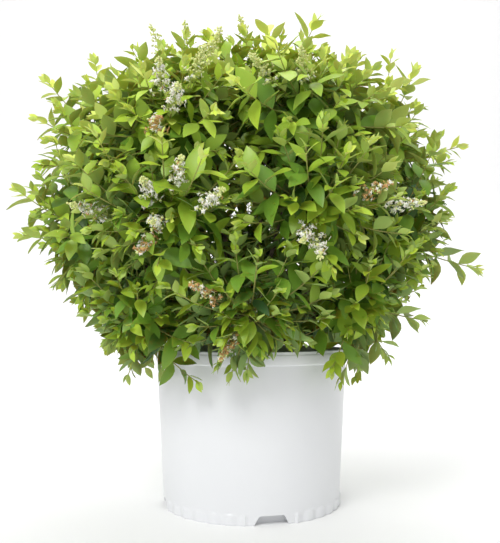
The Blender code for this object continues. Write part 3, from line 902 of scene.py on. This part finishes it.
def spun(profile, steps):
    shape = bmesh.new()
    points = [shape.verts.new((radius, 0.0, height)) for radius, height in profile]
    edges = [shape.edges.new(pair) for pair in zip(points, points[1:])]
    bmesh.ops.spin(
        shape,
        geom=points + edges,
        axis=(0.0, 0.0, 1.0),
        cent=(0.0, 0.0, 0.0),
        dvec=(0.0, 0.0, 0.0),
        angle=math.tau,
        steps=steps,
        use_merge=True,
        use_duplicate=False,
    )
    bmesh.ops.remove_doubles(shape, verts=shape.verts, dist=1e-6)
    bmesh.ops.recalc_face_normals(shape, faces=shape.faces)
    return shape


def rib_swell(azimuth, height):
    """How far the arch-topped ribs round the foot stand proud at a place."""
    pitch = math.tau / RIB_COUNT
    from_notch = math.remainder(azimuth - NOTCH_AZIMUTH, math.tau / NOTCH_COUNT)
    free = math.asin(NOTCH_FOOT_WIDTH / 2 / FOOT_RADIUS) + RIB_TO_NOTCH
    if abs(from_notch) < free or height > RIB_HEIGHT:
        return 0.0
    offset = math.remainder(azimuth - NOTCH_AZIMUTH - pitch / 2, pitch)
    offset /= pitch * RIB_HALF_ANGLE
    if abs(offset) >= 1.0:
        return 0.0
    crest = math.sqrt(1.0 - offset * offset)
    arch = RIB_HEIGHT * (RIB_SHOULDER + (1.0 - RIB_SHOULDER) * crest)
    if height >= arch:
        return 0.0
    return RIB_PROUD * crest * min(1.0, (arch - height) / RIB_FADE)


def raise_ribs(shape):
    for vert in shape.verts:
        radius = math.hypot(vert.co.x, vert.co.y)
        outer = radius > wall_radius(max(0.0, vert.co.z)) - WALL / 2
        if outer and vert.co.z <= FOOT_LEVELS[0]:
            swell = rib_swell(math.atan2(vert.co.y, vert.co.x), vert.co.z)
            vert.co.x *= 1.0 + swell / radius
            vert.co.y *= 1.0 + swell / radius


def notch_cutter(name, azimuth, material):
    """A block with the shape of a drain notch: wide at the foot, round at its top corners."""
    shape = bmesh.new()
    bmesh.ops.create_cube(shape, size=1.0)
    for vert in shape.verts:
        width = NOTCH_TOP_WIDTH if vert.co.z > 0 else NOTCH_FOOT_WIDTH * 1.06
        height = NOTCH_HEIGHT if vert.co.z > 0 else -NOTCH_HEIGHT * 0.2
        vert.co = Vector((vert.co.x * NOTCH_DEPTH, vert.co.y * width, height))
    tops = [edge for edge in shape.edges
            if all(vert.co.z > 0 for vert in edge.verts)
            and abs(edge.verts[0].co.y - edge.verts[1].co.y) < 1e-6]
    bmesh.ops.bevel(shape, geom=tops, offset=NOTCH_CORNER, offset_type='OFFSET', segments=4,
                    profile=0.5, affect='EDGES', material=-1)
    turn = Matrix.Rotation(azimuth, 4, 'Z') @ Matrix.Translation((FOOT_RADIUS, 0.0, 0.0))
    bmesh.ops.transform(shape, matrix=turn, verts=shape.verts)
    return new_object(name, mesh_from(name, shape), [material])


def make_pot(material):
    shape = spun(pot_profile(), POT_STEPS)
    raise_ribs(shape)
    pot = new_object("nursery_pot", mesh_from("nursery_pot", shape), [material])
    cutters = []
    for index in range(NOTCH_COUNT):
        azimuth = NOTCH_AZIMUTH + index * math.tau / NOTCH_COUNT
        cutter = notch_cutter(f"notch_{index}", azimuth, material)
        cut = pot.modifiers.new(f"Notch {index}", 'BOOLEAN')
        cut.operation = 'DIFFERENCE'
        cut.object = cutter
        cutters.append(cutter)
    graph = bpy.context.evaluated_depsgraph_get()
    graph.update()
    mesh = bpy.data.meshes.new_from_object(pot.evaluated_get(graph))
    pot.modifiers.clear()
    pot.data = mesh
    for cutter in cutters:
        bpy.data.objects.remove(cutter, do_unlink=True)
    mesh.shade_smooth()
    mesh.set_sharp_from_angle(angle=math.radians(34.0))
    return pot


def make_soil(material):
    edge = wall_radius(SOIL_TOP) - WALL - GAP
    foot = FLOOR + GAP
    foot_edge = wall_radius(foot) - WALL - GAP
    rings = [(edge * ring / SOIL_RINGS, SOIL_TOP) for ring in range(SOIL_RINGS)]
    rings += [(edge - 0.0006, SOIL_TOP - 0.003), (foot_edge, foot), (0.0, foot)]
    shape = spun(rings, SOIL_STEPS)
    for vert in shape.verts:
        radius = math.hypot(vert.co.x, vert.co.y)
        if vert.co.z > SOIL_TOP - 0.001 and radius > 0.001:
            fine = noise.noise(vert.co * (3 * SOIL_GRAIN))
            bump = noise.noise(vert.co * SOIL_GRAIN) + 0.5 * fine
            vert.co.z += SOIL_RELIEF * bump - SOIL_RELIEF
    soil = new_object("potting_mix", mesh_from("potting_mix", shape), [material])
    soil.data.shade_smooth()
    return soil


def make_chips(material):
    chance = random.Random(SEED + 5)
    shape = bmesh.new()
    bmesh.ops.create_cube(shape, size=1.0)
    for vert in shape.verts:
        vert.co *= Vector(CHIP_SIZE)
        if vert.co.y < 0:
            vert.co.x *= CHIP_TAPER
    chip = Template(shape)
    places = []
    edge = wall_radius(SOIL_TOP) - WALL - 0.010
    while len(places) < CHIP_COUNT:
        radius = edge * math.sqrt(chance.random())
        if radius < STEM_FLARE + 0.006:
            continue
        angle = chance.uniform(0.0, math.tau)
        spot = Vector((radius * math.cos(angle), radius * math.sin(angle), SOIL_TOP - 0.0008))
        heading = Vector([chance.uniform(-tilt, tilt) for tilt in (1.0, 1.0, 0.2)])
        upper = Vector((chance.uniform(-0.3, 0.3), chance.uniform(-0.3, 0.3), 1.0))
        places.append(placed(spot, heading.normalized(), upper, chance.uniform(0.5, 1.15)))
    return repeat("bark_chips", chip, places, [material])


def ring_edges(ring):
    """The edges of a ring, each once, in the order of its points."""
    edges = [edge for vert in ring for edge in vert.link_edges if edge.other_vert(vert) in ring]
    return list(dict.fromkeys(edges))


def relief_tube(route, radii, sides):
    """A limb with furrowed bark: a ring at each point of its route, bridged and roughened."""
    shape = bmesh.new()
    rings = []
    for index, place in enumerate(route):
        ahead = route[min(index + 1, len(route) - 1)] - route[max(index - 1, 0)]
        upright = abs(ahead.normalized().z) >= 0.95
        turn = turn_to(ahead, Vector((1.0, 0.0, 0.0)) if upright else Vector((0.0, 0.0, 1.0)))
        lay = Matrix.Translation(place) @ turn @ Matrix.Rotation(math.pi / 2, 4, 'Y')
        circle = bmesh.ops.create_circle(
            shape, cap_ends=False, segments=sides, radius=radii[index])
        ring = circle["verts"]
        bmesh.ops.transform(shape, matrix=lay, verts=ring)
        for number, vert in enumerate(ring):
            spot = (number * FURROW_ACROSS, index * FURROW_ALONG, radii[0] * FURROW_BY_RADIUS)
            furrow = noise.noise(Vector(spot))
            vert.co = place + (vert.co - place) * (1.0 - BARK_DEPTH + BARK_DEPTH * furrow)
        rings.append(ring)
    for near, far in zip(rings, rings[1:]):
        bmesh.ops.bridge_loops(shape, edges=ring_edges(near) + ring_edges(far))
    for ring in (rings[0], rings[-1]):
        bmesh.ops.contextual_create(shape, geom=ring)
    bmesh.ops.recalc_face_normals(shape, faces=shape.faces)
    return shape


def add_shape(target, shape):
    mesh = mesh_from("limb", shape)
    target.from_mesh(mesh)
    bpy.data.meshes.remove(mesh)


def make_stem(material):
    rise = STEM_TOP - STEM_FOOT
    heights = [STEM_FOOT + rise * ring / (STEM_RINGS - 1) for ring in range(STEM_RINGS)]
    radii = [stem_radius(height) for height in heights]
    route = [Vector((0.0, 0.0, height)) for height in heights]
    shape = relief_tube(route, radii, STEM_SIDES)
    stem = new_object("stem_bark", mesh_from("stem_bark", shape), [material])
    stem.data.shade_smooth()
    return stem


def make_boughs(routes, material):
    taper = BOUGH_TIP_RADIUS - BOUGH_RADIUS
    radii = [BOUGH_RADIUS + taper * ring / (BOUGH_RINGS - 1) for ring in range(BOUGH_RINGS)]
    joined = bmesh.new()
    for route in routes:
        add_shape(joined, relief_tube(route, radii, BOUGH_SIDES))
    boughs = new_object("bough_bark", mesh_from("bough_bark", joined), [material])
    boughs.data.shade_smooth()
    return boughs


# Studio


def make_sweep():
    """A pale floor that curves up into a wall behind the plant."""
    shape = bmesh.new()
    bmesh.ops.create_grid(shape, x_segments=1, y_segments=SWEEP_STEPS, size=1.0)
    for vert in shape.verts:
        share = (vert.co.y + 1.0) / 2
        turn = min(1.0, max(0.0, (share - 0.5) / 0.3)) * math.pi / 2
        rise = SWEEP_RADIUS * (1.0 - math.cos(turn)) + max(0.0, share - 0.8) * 20.0
        depth = min(share, 0.5) * 6.0 - 2.0 + SWEEP_RADIUS * math.sin(turn)
        vert.co = Vector((vert.co.x * SWEEP_HALF_WIDTH, depth, rise))
    white = plain_material("studio_white", (0.95, 0.95, 0.95), 0.9)
    sweep = new_object("studio_sweep", mesh_from("studio_sweep", shape), [white])
    sweep.data.shade_smooth()


def make_light():
    world = bpy.data.worlds.new("studio")
    bpy.context.scene.world = world
    world.use_nodes = True
    sky = world.node_tree.nodes["Background"]
    sky.inputs["Color"].default_value = (1.0, 1.0, 1.0, 1.0)
    sky.inputs["Strength"].default_value = SKY_STRENGTH
    for name, (place, aim, size, power) in LAMPS.items():
        lamp = bpy.data.lights.new(name, 'AREA')
        lamp.size = size
        lamp.energy = power
        item = bpy.data.objects.new(name, lamp)
        item.location = place
        item.rotation_euler = (Vector(aim) - Vector(place)).to_track_quat('-Z', 'Y').to_euler()
        bpy.context.scene.collection.objects.link(item)


def make_camera():
    camera = bpy.data.cameras.new("camera")
    camera.lens = CAMERA_LENS
    camera.sensor_width = 36.0
    viewer = bpy.data.objects.new("camera", camera)
    viewer.location = CAMERA_PLACE
    viewer.rotation_euler = (math.pi / 2 + CAMERA_TILT, 0.0, 0.0)
    bpy.context.scene.collection.objects.link(viewer)
    bpy.context.scene.camera = viewer
    bpy.context.scene.view_settings.view_transform = 'Standard'


# Pieces in their places


def settle(piece, slot, *nodes):
    """Let a piece ride on the one body, in place of the solids it replaces; the slot is not
    used.
    """
    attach(piece, "root")
    if nodes:
        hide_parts(*nodes)


def settle_pot_and_soil():
    plastic = mottled_material(
        "pot_plastic", (0.79, 0.80, 0.82), (0.82, 0.83, 0.85), 9.0, 0.34, 0.02)
    soil_mix = mottled_material(
        "soil_mix", (0.020, 0.013, 0.009), (0.090, 0.060, 0.038), 160.0, 0.95, 0.6)
    chip_bark = mottled_material(
        "chip_bark", (0.070, 0.036, 0.018), (0.22, 0.13, 0.070), 90.0, 0.9, 0.5)
    settle(make_pot(plastic), "pot_white", "pot")
    settle(make_soil(soil_mix), "soil_mix", "soil")
    settle(make_chips(chip_bark), "soil_mix")


def settle_limbs(sites, boughs):
    bark = mottled_material(
        "privet_bark", (0.115, 0.082, 0.055), (0.33, 0.26, 0.18), 130.0, 0.85, 0.6)
    settle(make_stem(bark), "bark", "short_stem")
    settle(make_boughs(boughs, bark), "bark", *["bough_" + site.name for site in sites])


def settle_leaves(growth, masses):
    templates = [leaf_template(droop, twist) for droop, twist in LEAF_FORMS]
    for tint, forms in growth.leaves.items():
        upper = plain_material("leaf_" + tint, TINTS[tint], 0.46, subsurface=0.12)
        under = plain_material("leaf_under_" + tint, UNDERSIDES[tint], 0.62, subsurface=0.12)
        for number, (template, places) in enumerate(zip(templates, forms)):
            if places:
                name = f"leaves_{tint}_{number + 1}"
                leaves = repeat(name, template, places, [upper, under])
                settle(leaves, "foliage", *masses)


def settle_shoots(growth, masses):
    green_shoot = plain_material("young_shoot", (0.33, 0.33, 0.085), 0.6)
    brown_twig = plain_material("woody_twig", (0.20, 0.115, 0.060), 0.75)
    stalk = plain_material("panicle_stalk", (0.56, 0.60, 0.22), 0.6)
    settle(routes_object("young_shoots", growth.shoots, green_shoot, 0), "foliage", *masses)
    settle(routes_object("woody_twigs", growth.twigs, brown_twig, 2), "bark", *masses)
    settle(routes_object("panicle_stalks", growth.stalks, stalk, 0), "foliage", *masses)


def settle_blooms(growth, masses):
    cream = plain_material("open_bloom", (0.93, 0.91, 0.80), 0.55, subsurface=0.1)
    bud = plain_material("bloom_bud", (0.70, 0.74, 0.30), 0.55, subsurface=0.1)
    brown = plain_material("faded_bloom", (0.62, 0.36, 0.13), 0.7)
    pieces = (
        ("open_blooms", flower_template(), growth.blooms["open"], cream),
        ("bloom_buds", bud_template(), growth.blooms["bud"], bud),
        ("faded_blooms", flower_template(), growth.blooms["faded"], brown),
    )
    for name, template, places, material in pieces:
        settle(repeat(name, template, places, [material]), "blossom", *masses)


def main():
    make_sweep()
    make_light()
    make_camera()
    settle_pot_and_soil()

    sites = mass_sites()
    cells = [cell_planes(site, sites) for site in sites]
    boughs = []
    for site, planes in zip(sites, cells):
        core_radius = min(CORE_RADIUS, room_in_cell(site.place, planes) * CORE_SHARE)
        boughs.append(bough_route(site, core_radius))
    settle_limbs(sites, boughs)

    growth = Growth()
    goals = goals_by_mass(sites)
    for site, planes, bough in zip(sites, cells, boughs):
        grow_mass(growth, site, planes, bough, goals[site.name])
    masses = ["foliage_" + site.name for site in sites]
    settle_leaves(growth, masses)
    settle_shoots(growth, masses)
    settle_blooms(growth, masses)


main()
